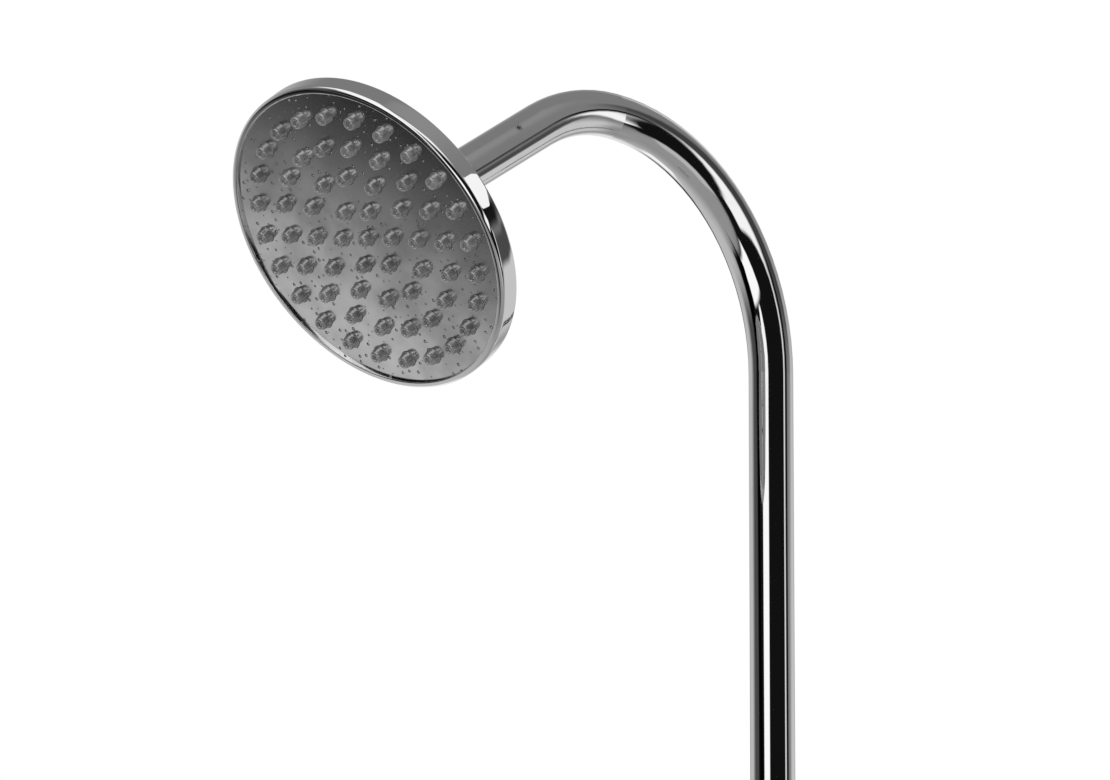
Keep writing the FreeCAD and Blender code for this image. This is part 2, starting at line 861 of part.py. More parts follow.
def make_nipple_oring():
    inner = tube_bore - 2.0 * nipple_seal_section - 2.0 * fit_clearance
    return arm_place(oring(inner, nipple_seal_section, -nipple_seal_place))


def make_nut_washer():
    low = nipple_thread_length
    outer = port_thread_radius - nut_washer_gap
    return arm_place(ring(outer, nut_washer_bore, low, low + nut_washer_thickness))


def make_inlet_filter():
    low = nipple_thread_length + filter_seat
    high = low + filter_thickness
    outer = nut_washer_bore - fit_clearance
    return arm_place(perforated(outer, low, high, filter_hole_radius, filter_pitch, filter_rows))


def make_ball_nut():
    top = -ball_nut_recess
    seat = nipple_thread_length + nut_washer_thickness
    back = seat + ball_nut_floor
    meet = math.sqrt(ball_radius ** 2 - ball_neck_radius ** 2)
    tip = math.sqrt(ball_radius ** 2 - ball_waterway_radius ** 2)
    side = ball_offset
    nut = spun(
        (ball_waterway_radius, seat),
        (port_thread_radius, seat),
        (port_thread_radius, 0.0),
        (tube_radius + ball_nut_tube_gap, 0.0),
        (tube_radius + ball_nut_tube_gap, top),
        (ball_nut_lip_radius, top),
        ((ball_nut_shoulder_radius, top + ball_nut_shoulder), (ball_nut_radius, top + ball_nut_flare)),
        (ball_nut_radius, seat),
        (ball_neck_radius, back),
        (ball_neck_radius, side - meet),
        ((ball_radius, side), (ball_waterway_radius, side + tip)),
    )
    return arm_place(nut)


# ---------------------------------------------------------------- swivel, drawn about the ball's centre
def polar(radius, angle):
    """A point at an angle from the side that faces the arm."""
    turn = math.radians(angle)
    return (radius * math.sin(turn), -radius * math.cos(turn))


def make_ball_seat():
    inner = ball_radius + fit_clearance
    outer = ball_radius + seat_thickness
    middle = 0.5 * (seat_start_angle + seat_end_angle)
    seat = spun(
        polar(inner, seat_start_angle),
        polar(outer, seat_start_angle),
        (polar(outer, middle), polar(outer, seat_end_angle)),
        polar(inner, seat_end_angle),
        (polar(inner, middle), polar(inner, seat_start_angle)),
    )
    return head_place(seat)


def make_swivel_collar():
    cavity = ball_radius + seat_thickness + fit_clearance
    mouth = polar(cavity, collar_mouth_angle)
    flare = collar_back * math.tan(math.radians(collar_mouth_angle))
    thread = neck_thread_radius + fit_clearance
    collar = spun(
        mouth,
        (flare, -collar_back),
        (collar_radius - collar_edge, -collar_back),
        (collar_radius, -collar_back + collar_edge),
        (collar_radius, collar_front),
        (thread, collar_front),
        (thread, neck_start),
        (cavity, neck_start),
        (cavity, 0.0),
        (polar(cavity, 0.5 * (90.0 + collar_mouth_angle)), mouth),
    )
    grips = []
    low = -collar_back + collar_grip_back
    for x, y in on_circle(collar_grip_count, collar_radius + collar_grip_sink):
        grips.append(cylinder(collar_grip_radius, low, collar_front - collar_grip_front, x, y))
    return head_place(collar.cut(Part.makeCompound(grips)))


def make_ball_seal():
    outer = ball_radius + seat_thickness - fit_clearance
    low = neck_seal_start
    seal = ring(outer, waterway_radius, low, neck_seal_end)
    return head_place(seal.cut(Part.makeSphere(ball_radius + fit_clearance)))


# ---------------------------------------------------------------- head
def make_head_shell():
    cavity = ball_radius + seat_thickness + fit_clearance
    round_front = rim_front_round * (1.0 - math.sqrt(0.5))
    round_back = rim_back_round * (1.0 - math.sqrt(0.5))
    shoulder_radius = pocket_radius - shell_shoulder
    step = collar_front + shell_step_gap
    shell = spun(
        (cavity, neck_start),
        (neck_thread_radius, neck_start),
        (neck_thread_radius, step),
        (dome_top_radius, step),
        (dome_top_radius, dome_top),
        ((dome_middle_radius, dome_middle), (head_radius - rim_back_round, rim_back)),
        ((head_radius - round_back, rim_back + round_back), (head_radius, rim_back + rim_back_round)),
        (head_radius, face_front - rim_front_round),
        ((head_radius - round_front, face_front - round_front), (head_radius - rim_front_round, face_front)),
        (head_radius - rim_front_round - lip_crest_width, face_front),
        (pocket_radius - lip_overlap, plate_front + lip_land),
        (pocket_radius - lip_overlap, plate_front),
        (pocket_radius, plate_front),
        (pocket_radius, backing_back),
        (shoulder_radius, backing_back),
        (shoulder_radius, rim_back + shell_wall),
        ((dome_middle_radius, dome_middle + shell_wall), (dome_top_radius, dome_top + shell_wall)),
        (head_bore_radius, dome_top + shell_wall),
        (head_bore_radius, limiter_start),
        (waterway_radius, limiter_start),
        (waterway_radius, neck_seal_end),
        (cavity, neck_seal_end),
    )
    return head_place(shell)


def make_flow_limiter():
    high = limiter_start + limiter_thickness
    limiter = cylinder(head_bore_radius - fit_clearance, limiter_start, high)
    for x, y in on_circle(limiter_hole_count, limiter_hole_circle):
        hole = cylinder(limiter_hole_radius, limiter_start - overshoot, high + overshoot, x, y)
        limiter = limiter.cut(hole)
    return head_place(limiter)


def at_sites(radius, low, high):
    return Part.makeCompound([cylinder(radius, low, high, x, y) for x, y in nozzle_sites])


def make_backing_plate():
    plate = cylinder(pocket_radius - plate_edge_gap, backing_back, mat_back)
    middle = 0.5 * (backing_back + mat_back)
    groove_floor = pocket_radius - 2.0 * head_seal_section - groove_floor_gap
    half = head_groove_ratio * head_seal_section
    plate = plate.cut(ring(pocket_radius + overshoot, groove_floor, middle - half, middle + half))
    ports = at_sites(backing_port_radius, backing_back - overshoot, mat_back + overshoot)
    return head_place(plate.cut(ports))


def make_head_seal():
    middle = 0.5 * (backing_back + mat_back)
    inner = pocket_radius - 2.0 * head_seal_section - fit_clearance
    return head_place(oring(inner, head_seal_section, middle))


def nozzle():
    root = plate_front + nozzle_flange_rise
    tip = plate_front + nozzle_height
    bend = nozzle_tip_round * (1.0 - math.sqrt(0.5))
    return spun(
        (nozzle_bore_radius, mat_back + nozzle_root_sink),
        (nozzle_flange_radius, mat_back + nozzle_root_sink),
        (nozzle_flange_radius, plate_front + 0.5 * nozzle_flange_rise),
        (nozzle_root_radius, root),
        (nozzle_tip_radius, tip - nozzle_tip_round),
        ((nozzle_tip_radius - bend, tip - bend), (nozzle_tip_radius - nozzle_tip_round, tip)),
        (nozzle_bore_radius, tip),
    )


def make_nozzle_mat():
    one = nozzle()
    nozzles = []
    for x, y in nozzle_sites:
        copy = one.copy()
        copy.translate(Vector(x, y, 0))
        nozzles.append(copy)
    mat = cylinder(pocket_radius - mat_edge_gap, mat_back, plate_back)
    mat = mat.multiFuse(nozzles).removeSplitter()
    return head_place(mat.cut(at_sites(nozzle_bore_radius, mat_back - overshoot, mat_back + overshoot)))


def make_face_plate():
    plate = cylinder(pocket_radius - plate_edge_gap, plate_back, plate_front)
    hole = nozzle_flange_radius + nozzle_hole_clearance
    return head_place(plate.cut(at_sites(hole, plate_back - overshoot, plate_front + overshoot)))


PIECES = {
    "base_gasket": make_base_gasket,
    "base_plate": make_base_plate,
    "base_screws": make_base_screws,
    "foot_body": make_foot_body,
    "foot_orings": make_foot_orings,
    "foot_grub_screws": make_foot_grub_screws,
    "base_rosette": make_base_rosette,
    "inlet_nipple": make_inlet_nipple,
    "inlet_washer": make_inlet_washer,
    "inlet_screen": make_inlet_screen,
    "lower_tube": make_lower_tube,
    "riser_tube": make_riser_tube,
    "coupling": make_coupling,
    "coupling_orings": make_coupling_orings,
    "coupling_screws": make_coupling_screws,
    "valve_body": make_valve_body,
    "compression_nuts": make_compression_nuts,
    "compression_olives": make_compression_olives,
    "cartridge_seal": make_cartridge_seal,
    "fixed_disc": make_fixed_disc,
    "moving_disc": make_moving_disc,
    "cartridge_body": make_cartridge_body,
    "valve_spindle": make_valve_spindle,
    "spindle_oring": make_spindle_oring,
    "bonnet_ring": make_bonnet_ring,
    "valve_handle": make_valve_handle,
    "handle_screw": make_handle_screw,
    "handle_cap": make_handle_cap,
    "gooseneck_tube": make_gooseneck_tube,
    "arm_set_screw": make_arm_set_screw,
    "arm_nipple": make_arm_nipple,
    "nipple_oring": make_nipple_oring,
    "nut_washer": make_nut_washer,
    "inlet_filter": make_inlet_filter,
    "ball_nut": make_ball_nut,
    "ball_seat": make_ball_seat,
    "ball_seal": make_ball_seal,
    "swivel_collar": make_swivel_collar,
    "head_shell": make_head_shell,
    "flow_limiter": make_flow_limiter,
    "backing_plate": make_backing_plate,
    "head_seal": make_head_seal,
    "nozzle_mat": make_nozzle_mat,
    "face_plate": make_face_plate,
}

os.makedirs("parts", exist_ok=True)
for node, make in PIECES.items():
    export(make(), node)
centre = pivot()
print("ball centre", round(centre.x, 3), round(centre.y, 3), round(centre.z, 3))
print("head axis angle from up", arm_angle + swivel_droop)
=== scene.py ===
"""Looks of the outdoor shower post: camera, studio, finishes, and the head's shell and nozzles."""

import json
import logging
import math
from abc import ABC, abstractmethod
from collections.abc import Callable, Iterable, Iterator, Sequence
from contextlib import contextmanager
from dataclasses import dataclass
from enum import Enum

import bpy
from mathutils import Matrix, Vector


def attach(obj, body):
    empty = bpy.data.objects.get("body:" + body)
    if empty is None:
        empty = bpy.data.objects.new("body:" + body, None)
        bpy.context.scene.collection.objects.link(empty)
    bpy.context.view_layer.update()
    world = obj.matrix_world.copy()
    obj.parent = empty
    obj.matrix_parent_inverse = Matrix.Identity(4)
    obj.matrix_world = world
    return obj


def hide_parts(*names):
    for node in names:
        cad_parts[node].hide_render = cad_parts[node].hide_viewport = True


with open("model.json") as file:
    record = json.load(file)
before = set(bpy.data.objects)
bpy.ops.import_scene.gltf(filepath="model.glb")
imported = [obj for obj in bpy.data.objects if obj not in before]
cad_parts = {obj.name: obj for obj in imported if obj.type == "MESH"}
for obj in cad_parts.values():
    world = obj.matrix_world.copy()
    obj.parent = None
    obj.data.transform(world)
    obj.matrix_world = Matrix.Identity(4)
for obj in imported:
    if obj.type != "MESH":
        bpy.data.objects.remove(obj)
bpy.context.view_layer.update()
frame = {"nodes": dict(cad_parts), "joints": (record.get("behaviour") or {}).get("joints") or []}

LOG = logging.getLogger("shower_post")
MM = 0.001
MERGE_DISTANCE = 0.000001
IMAGE_WIDTH_PX = 1110
UPRIGHT = Vector((0.0, 0.0, 1.0))
Socket = bpy.types.NodeSocket
Point = tuple[float, float]
Triple = tuple[float, float, float]


class Slot(Enum):
    """The record's finishes that a piece may take."""

    CHROME = "chrome"
    SPRAY_FACE = "spray_face"
    SILICONE = "silicone"
    BRASS = "brass"
    RUBBER = "rubber"
    STEEL_PLATE = "steel_plate"
    SCREW_STEEL = "screw_steel"
    MESH_STEEL = "mesh_steel"
    CERAMIC = "ceramic"
    WHITE_PLASTIC = "white_plastic"


class Body(Enum):
    """The body of the frame that the new pieces ride on."""

    HEAD = "head"


# ------------------------------------------------------------------ view and directions
@dataclass(frozen=True)
class Viewpoint:
    """Where the photograph was taken from, and with which lens."""

    place: Triple = (2.7051, -2.6992, 1.3946)
    forward: Triple = (-0.71616, 0.67599, 0.17365)
    focal_px: float = 7898.36
    sensor: float = 36.0
    nearest: float = 0.05
    farthest: float = 60.0

    @property
    def lens(self) -> float:
        """Focal length in millimetres on this sensor."""
        return self.focal_px * self.sensor / IMAGE_WIDTH_PX

    def towards_camera(self) -> Vector:
        """Level direction from the post to the camera."""
        return Vector((-self.forward[0], -self.forward[1], 0.0)).normalized()

    def to_the_right(self) -> Vector:
        """Level direction that points to the right in the photograph."""
        return Vector(self.forward).cross(UPRIGHT).normalized()

    def build(self) -> None:
        """Make the camera and give it to the scene."""
        data = bpy.data.cameras.new("photo_camera")
        data.sensor_width = self.sensor
        data.lens = self.lens
        data.clip_start = self.nearest
        data.clip_end = self.farthest
        camera = bpy.data.objects.new("photo_camera", data)
        camera.location = self.place
        camera.rotation_mode = "QUATERNION"
        camera.rotation_quaternion = Vector(self.forward).to_track_quat("-Z", "Y")
        bpy.context.scene.collection.objects.link(camera)
        bpy.context.scene.camera = camera


VIEW = Viewpoint()


def mirrored(ray: Vector, normal: Vector) -> Vector:
    """A ray after a surface with this normal has reflected it."""
    return ray - normal * 2.0 * ray.dot(normal)


def laid_flat(direction: Vector, normal: Vector) -> Vector:
    """A direction laid on the plane that has this normal."""
    return (direction - normal * direction.dot(normal)).normalized()


@dataclass(frozen=True)
class HeadFrame:
    """The spray head's own frame: the ball's centre at 0 and +Z towards the spray face."""

    pivot: Vector
    axis: Vector
    face_depth: float = 36.0

    @classmethod
    def read(cls) -> "HeadFrame":
        """Read the frame from the joint that spins the head."""
        joint = next(joint for joint in frame["joints"] if joint["name"] == "head_spin")
        return cls(Vector(joint["pos_m"]), Vector(joint["axis"]).normalized())

    def tip(self) -> float:
        """How far the head's axis is turned from straight up, in radians."""
        return math.atan2(-self.axis.y, self.axis.z)

    def matrix(self) -> Matrix:
        """From this frame to the object's."""
        return Matrix.Translation(self.pivot) @ Matrix.Rotation(self.tip(), 4, "X")

    def face_centre(self) -> Vector:
        """The middle of the spray face."""
        return self.pivot + self.axis * self.face_depth * MM


# ------------------------------------------------------------------ node wiring
class Graph:
    """A node tree that is being wired."""

    def __init__(self, tree: bpy.types.NodeTree) -> None:
        """Keep the tree.

        Args:
            tree: The tree that the nodes go in.
        """
        self.tree = tree

    def add(self, kind: str, inputs: dict | None = None, **settings: object) -> bpy.types.Node:
        """Add a node.

        Args:
            kind: The node's type, without its ShaderNode prefix.
            inputs: Values or sockets for its inputs, by name or number.
            **settings: Properties of the node.

        Returns:
            The new node.
        """
        prefix = "" if kind.startswith("Node") else "ShaderNode"
        node = self.tree.nodes.new(prefix + kind)
        for name, value in settings.items():
            setattr(node, name, value)
        for key, value in (inputs or {}).items():
            self.feed(node.inputs[key], value)
        return node

    def feed(self, socket: Socket, value: object) -> None:
        """Link a socket, or set its own value."""
        if isinstance(value, bpy.types.NodeSocket):
            self.tree.links.new(value, socket)
        else:
            socket.default_value = value

    def math(self, operation: str, *values: object) -> Socket:
        """A Math node's result for these values."""
        return self.add("Math", dict(enumerate(values)), operation=operation).outputs[0]

    def dot(self, vector: Socket, axis: Sequence[float]) -> Socket:
        """The dot product of a vector and a fixed axis."""
        node = self.add("VectorMath", {0: vector, 1: tuple(axis)}, operation="DOT_PRODUCT")
        return node.outputs["Value"]

    def smooth(self, value: object, low: object, high: object, to_low: float = 0.0,
               to_high: float = 1.0) -> Socket:
        """A smooth step of a value.

        Args:
            value: What is mapped.
            low: The value that gives to_low.
            high: The value that gives to_high.
            to_low: The result at low.
            to_high: The result at high.

        Returns:
            The output socket.
        """
        inputs = {
            "Value": value, "From Min": low, "From Max": high, "To Min": to_low, "To Max": to_high
        }
        return self.add("MapRange", inputs, interpolation_type="SMOOTHSTEP").outputs["Result"]

    def within(self, value: Socket, half: Socket, soft: Socket) -> Socket:
        """1 where a value stays within half a width of 0, with a soft edge."""
        outer = self.math("ADD", half, soft)
        return self.smooth(self.math("ABSOLUTE", value), outer, self.math("SUBTRACT", half, soft))

    def blend(self, factor: object, first: object, second: object) -> Socket:
        """A number between two others."""
        return self.add("Mix", {0: factor, 2: first, 3: second}, data_type="FLOAT").outputs[0]

    def tint(self, factor: object, first: object, second: object) -> Socket:
        """A colour between two others."""
        return self.add("Mix", {0: factor, 6: first, 7: second}, data_type="RGBA").outputs[2]

    def bump(self, height: Socket, distance: float, strength: float = 1.0) -> Socket:
        """A normal that follows a height."""
        inputs = {"Height": height, "Strength": strength, "Distance": distance}
        return self.add("Bump", inputs).outputs["Normal"]

    def shared(self, tree: bpy.types.ShaderNodeTree, **inputs: object) -> object:
        """The outputs of a shared group that takes these inputs."""
        return self.add("Group", inputs, node_tree=tree).outputs


def grey(level: float) -> tuple[float, float, float, float]:
    """An opaque grey colour."""
    return (level, level, level, 1.0)


def new_material(name: str) -> tuple[bpy.types.Material, Graph, bpy.types.Node]:
    """Begin a material.

    Args:
        name: The material's name.

    Returns:
        The material, its graph and its output node.
    """
    material = bpy.data.materials.new(name)
    material.use_nodes = True
    material.node_tree.nodes.clear()
    graph = Graph(material.node_tree)
    return material, graph, graph.add("OutputMaterial")


@dataclass(frozen=True)
class NoiseLayer:
    """A layer of noise: how fine it is next to its group, and which part of it is kept."""

    fineness: float
    detail: float
    roughness: float
    window: Point | None = None
    result: Point = (0.0, 1.0)

    def wire(self, graph: Graph, read: object) -> Socket:
        """Wire the layer.

        Args:
            graph: The group's node tree.
            read: The group's inputs, as seen from inside.

        Returns:
            A value from 0 to 1.
        """
        inputs = {
            "Vector": read["Vector"],
            "Scale": graph.math("MULTIPLY", read["Scale"], self.fineness),
            "Detail": self.detail,
            "Roughness": self.roughness,
        }
        value = graph.add("TexNoise", inputs).outputs["Fac"]
        return graph.smooth(value, *self.window, *self.result) if self.window else value


class GroupLibrary:
    """Shader node groups, each built once and then shared.

    The numbers for drops are shares: smallest_drop of the largest one, drop_rim of a drop's own
    reach where its rim starts to fade, and the ring pair of that reach where a painted shade ring
    at the drop's edge starts and is full.
    """

    wiped_patches = NoiseLayer(1.0, 4.0, 0.6, (0.46, 0.72))
    wiping_marks = NoiseLayer(9.0, 2.0, 0.5, (0.35, 0.75), (0.35, 1.0))
    slow_wave = NoiseLayer(0.35, 1.0, 0.4)
    slow_clouds = NoiseLayer(1.0, 3.0, 0.55, (0.3, 0.7))
    fine_grain = NoiseLayer(14.0, 4.0, 0.65, (0.25, 0.75))
    drop_scatter = 0.85
    smallest_drop = 0.35
    drop_rim = 0.85
    drop_shade_ring: Point = (0.45, 0.8)

    def __init__(self) -> None:
        """Start with no group."""
        self.built: dict[str, bpy.types.ShaderNodeTree] = {}

    def group(self, name: str, inputs: Iterable[str],
              wire: Callable[[Graph, object], dict[str, Socket]]) -> bpy.types.ShaderNodeTree:
        """Build a group, or find it again.

        Args:
            name: The group's name.
            inputs: Names of its inputs; the one called Vector takes coordinates.
            wire: Wires the inside from its inputs, and gives its outputs by name.

        Returns:
            The node group.
        """
        if name not in self.built:
            tree = bpy.data.node_groups.new(name, "ShaderNodeTree")
            for label in inputs:
                kind = "NodeSocketVector" if label == "Vector" else "NodeSocketFloat"
                tree.interface.new_socket(name=label, in_out="INPUT", socket_type=kind)
            graph = Graph(tree)
            results = wire(graph, graph.add("NodeGroupInput").outputs)
            for label in results:
                tree.interface.new_socket(
                    name=label, in_out="OUTPUT", socket_type="NodeSocketFloat"
                )
            graph.add("NodeGroupOutput", results)
            self.built[name] = tree
        return self.built[name]

    def smudges(self) -> bpy.types.ShaderNodeTree:
        """Faint wiping marks and a slow waviness, for polished metal."""

        def wire(graph: Graph, read: object) -> dict[str, Socket]:
            """Wire the smudges."""
            patch = self.wiped_patches.wire(graph, read)
            marks = self.wiping_marks.wire(graph, read)
            wave = self.slow_wave.wire(graph, read)
            return {"Mask": graph.math("MULTIPLY", patch, marks), "Wave": wave}

        return self.group("wiping_smudges", ("Vector", "Scale"), wire)

    def grain(self) -> bpy.types.ShaderNodeTree:
        """Slow clouds and a fine grain, for tone, roughness and relief."""

        def wire(graph: Graph, read: object) -> dict[str, Socket]:
            """Wire the grain."""
            clouds = self.slow_clouds.wire(graph, read)
            return {"Clouds": clouds, "Grain": self.fine_grain.wire(graph, read)}

        return self.group("clouds_and_grain", ("Vector", "Scale"), wire)

    def water_drops_and_shade_rings(self) -> bpy.types.ShaderNodeTree:
        """Round drops of water: all of a drop, its painted shade ring and its domed height."""

        def wire(graph: Graph, read: object) -> dict[str, Socket]:
            """Wire the drops."""
            inputs = {
                "Vector": read["Vector"], "Scale": read["Scale"], "Randomness": self.drop_scatter
            }
            cells = graph.add("TexVoronoi", inputs, voronoi_dimensions="2D").outputs
            chance = graph.add("SeparateColor", {0: cells["Color"]}).outputs
            share = graph.smooth(chance[0], 0.0, 1.0, self.smallest_drop, 1.0)
            size = graph.math("MULTIPLY", share, read["Size"])
            kept = graph.math("LESS_THAN", chance[1], read["Share"])
            reach = graph.math("DIVIDE", cells["Distance"], size)
            drop = graph.math("MULTIPLY", graph.smooth(reach, 1.0, self.drop_rim), kept)
            # Painted shade: a dark ring near each drop's edge, in place of its rim's darkening.
            ring = graph.smooth(reach, *self.drop_shade_ring)
            dome = graph.smooth(reach, 1.0, 0.0)
            return {
                "Mask": drop,
                "Shade Ring": graph.math("MULTIPLY", ring, drop),
                "Dome": graph.math("MULTIPLY", dome, kept),
            }

        return self.group("water_drops_and_shade_rings", ("Vector", "Scale", "Size", "Share"), wire)

    def studio_card(self) -> bpy.types.ShaderNodeTree:
        """A soft-edged panel of the studio, by azimuth and elevation in radians."""

        def wire(graph: Graph, read: object) -> dict[str, Socket]:
            """Wire the panel's mask."""
            rise = graph.math("SUBTRACT", read["Elevation"], read["Card Elevation"])
            lean = graph.math("MULTIPLY", rise, read["Lean"])
            turn = graph.math("SUBTRACT", read["Azimuth"], read["Card Azimuth"])
            turn = graph.math("WRAP", graph.math("SUBTRACT", turn, lean), math.pi, -math.pi)
            wider = graph.math("MULTIPLY", rise, read["Taper"])
            half = graph.math("ADD", read["Half Width"], wider)
            across = graph.within(turn, half, read["Softness"])
            upwards = graph.within(rise, read["Half Height"], read["Softness"])
            return {"Mask": graph.math("MULTIPLY", across, upwards)}

        inputs = ("Azimuth", "Elevation", "Card Azimuth", "Card Elevation", "Half Width",
                  "Half Height", "Lean", "Taper", "Softness")
        return self.group("studio_card", inputs, wire)


GROUPS = GroupLibrary()


# ------------------------------------------------------------------ modelling
class Bench:
    """Blender's modelling tools, used on one piece at a time. Sizes are in millimetres."""

    def clear(self) -> None:
        """Leave edit mode and deselect everything."""
        if bpy.context.mode != "OBJECT":
            bpy.ops.object.mode_set(mode="OBJECT")
        bpy.ops.object.select_all(action="DESELECT")

    @contextmanager
    def editing(self, piece: bpy.types.Object) -> Iterator[None]:
        """Edit one piece, with all of it selected at the start.

        Args:
            piece: The piece to edit.

        Yields:
            Nothing; edit mode ends with the block.
        """
        self.pick(piece)
        bpy.ops.object.mode_set(mode="EDIT")
        bpy.ops.mesh.select_all(action="SELECT")
        yield
        bpy.ops.object.mode_set(mode="OBJECT")

    def pick(self, *pieces: bpy.types.Object) -> None:
        """Select just these pieces and make the first one active."""
        self.clear()
        for piece in pieces:
            piece.select_set(True)
        bpy.context.view_layer.objects.active = pieces[0]

    def tidy(self) -> None:
        """Merge doubles and turn every face outwards, in edit mode."""
        bpy.ops.mesh.select_all(action="SELECT")
        bpy.ops.mesh.remove_doubles(threshold=MERGE_DISTANCE)
        bpy.ops.mesh.normals_make_consistent(inside=False)

    def turned(self, name: str, outline: Sequence[Point], sides: int) -> bpy.types.Object:
        """Turn a closed outline about Z.

        Args:
            name: The piece's name.
            outline: Points of radius and height; the last joins the first.
            sides: How many steps the turn has.

        Returns:
            The new piece.
        """
        self.clear()
        radius, height = outline[0]
        bpy.ops.mesh.primitive_circle_add(
            vertices=sides, radius=radius * MM, fill_type="NOTHING",
            location=(0.0, 0.0, height * MM),
        )
        piece = bpy.context.object
        piece.name = name
        bpy.ops.object.transform_apply(location=True, rotation=True, scale=True)
        with self.editing(piece):
            for wide, high in (*outline[1:], outline[0]):
                step = (0.0, 0.0, (high - height) * MM)
                bpy.ops.mesh.extrude_edges_move(TRANSFORM_OT_translate={"value": step})
                if wide != radius:
                    share = wide / radius
                    middle = (0.0, 0.0, high * MM)
                    bpy.ops.transform.resize(value=(share, share, 1.0), center_override=middle)
                radius, height = wide, high
            self.tidy()
        return piece

    def smooth(self, piece: bpy.types.Object, degrees: float) -> None:
        """Shade a piece smooth, with an edge where two faces meet at more than an angle."""
        self.pick(piece)
        bpy.ops.object.shade_smooth_by_angle(angle=math.radians(degrees))

    def copy(self, piece: bpy.types.Object, x: float, y: float) -> bpy.types.Object:
        """A copy of a piece, moved across by millimetres, with its own mesh."""
        self.pick(piece)
        bpy.ops.object.duplicate_move(
            OBJECT_OT_duplicate={"linked": False},
            TRANSFORM_OT_translate={"value": (x * MM, y * MM, 0.0)},
        )
        return bpy.context.object

    def join(self, first: bpy.types.Object, others: Iterable[bpy.types.Object]) -> None:
        """Join pieces into the first."""
        self.pick(first, *others)
        bpy.ops.object.join()

    def settle(self, piece: bpy.types.Object, place: Matrix) -> None:
        """Move a piece to its place and keep that place in its mesh."""
        piece.matrix_world = place
        self.pick(piece)
        bpy.ops.object.transform_apply(location=True, rotation=True, scale=True)


def arc(centre: Point, radii: Point, start: float, end: float, steps: int) -> list[Point]:
    """Points on an arc of an outline.

    Args:
        centre: Radius and height of the arc's centre.
        radii: Its reach along the radius and along the height.
        start: First angle in degrees, from outwards towards the front.
        end: Last angle in degrees.
        steps: How many steps it has.

    Returns:
        The points, with both ends.
    """
    points = []
    for step in range(steps + 1):
        turn = math.radians(start + (end - start) * step / steps)
        points.append(
            (centre[0] + radii[0] * math.cos(turn), centre[1] + radii[1] * math.sin(turn))
        )
    return points


def bowed(first: Point, middle: Point, last: Point, steps: int) -> list[Point]:
    """Points on a shallow bow from one point past a middle one to another, without the first."""
    points = []
    pull = [2.0 * mid - 0.5 * (near + far) for near, mid, far in zip(first, middle, last)]
    for step in range(1, steps + 1):
        share = step / steps
        weights = ((1.0 - share) ** 2, 2.0 * share * (1.0 - share), share ** 2)
        points.append(tuple(
            weights[0] * near + weights[1] * mid + weights[2] * far
            for near, mid, far in zip(first, pull, last)
        ))
    return points


# ------------------------------------------------------------------ studio
@dataclass(frozen=True)
class StudioCard:
    """A panel round the post for reflections; angles in degrees from the camera's side."""

    name: str
    azimuth: float
    elevation: float
    half_width: float
    half_height: float
    level: float
    softness: float = 2.0
    lean: float = 0.0
    taper: float = 0.0

    def mask(self, graph: Graph, azimuth: Socket, elevation: Socket) -> Socket:
        """Where this panel is seen.

        Args:
            graph: The world's node tree.
            azimuth: The direction's azimuth in radians.
            elevation: The direction's elevation in radians.

        Returns:
            A mask from 0 to 1.
        """
        inputs = {
            "Azimuth": azimuth,
            "Elevation": elevation,
            "Card Azimuth": math.radians(self.azimuth),
            "Card Elevation": math.radians(self.elevation),
            "Half Width": math.radians(self.half_width),
            "Half Height": math.radians(self.half_height),
            "Lean": self.lean,
            "Taper": self.taper,
            "Softness": math.radians(self.softness),
        }
        node = graph.add("Group", inputs, node_tree=GROUPS.studio_card(), label=self.name)
        return node.outputs["Mask"]


@dataclass(frozen=True)
class StudioLamp:
    """A soft square lamp, in metres and watts, that reflections don't show."""

    name: str
    place: Triple
    size: float
    power: float
    target: Triple = (0.0, -0.1, 1.4)

    def build(self) -> None:
        """Add the lamp to the scene."""
        data = bpy.data.lights.new(self.name, "AREA")
        data.size = self.size
        data.energy = self.power
        lamp = bpy.data.objects.new(self.name, data)
        lamp.location = self.place
        lamp.rotation_mode = "QUATERNION"
        aim = Vector(self.target) - Vector(self.place)
        lamp.rotation_quaternion = aim.to_track_quat("-Z", "Y")
        lamp.visible_glossy = False
        bpy.context.scene.collection.objects.link(lamp)


